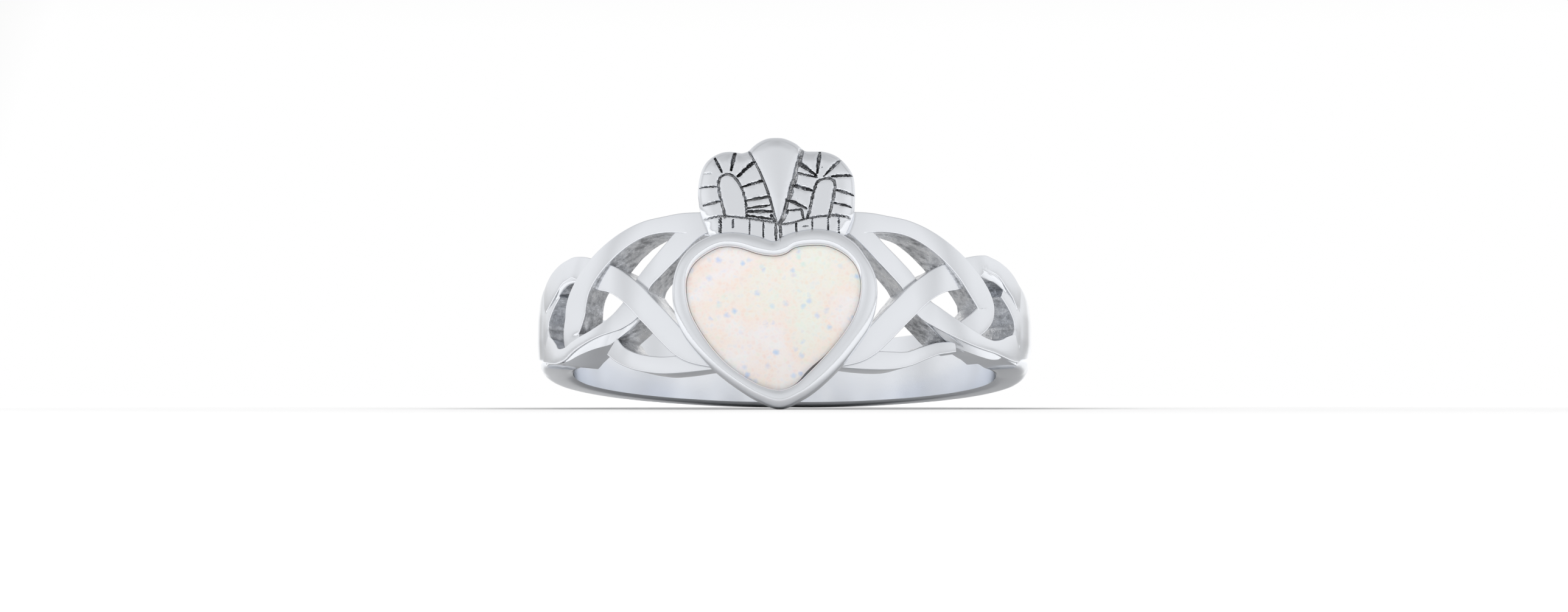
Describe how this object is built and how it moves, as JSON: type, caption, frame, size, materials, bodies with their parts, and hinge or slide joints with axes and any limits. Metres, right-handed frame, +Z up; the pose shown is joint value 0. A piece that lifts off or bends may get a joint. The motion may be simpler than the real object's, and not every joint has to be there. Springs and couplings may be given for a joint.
{
  "type": "claddagh ring",
  "caption": "Claddagh ring in polished silver: a crown over a heart-shaped white opal in a plain rim, with woven knot shoulders running into a plain band.",
  "frame": {"origin": "middle of the finger hole, on its axis and half way along the band", "axes": "The ring lies on its side on a table: +Z up, the heart looks towards -Y, the crown points up, +X to the right of someone facing the heart. The finger axis leans 8.7 degrees from +Z towards +Y."},
  "size_m": [0.0202, 0.0217, 0.0103],
  "materials": {
    "silver": "mirror polished sterling silver, rougher as cast inside the openings, darkened in the cut lines of the crown",
    "opal": "polished low dome, milky peach white with small pastel flakes"
  },
  "bodies": {
    "root": {"silver_ring": "silver", "opal_heart": "opal"}
  },
  "joints": []
}
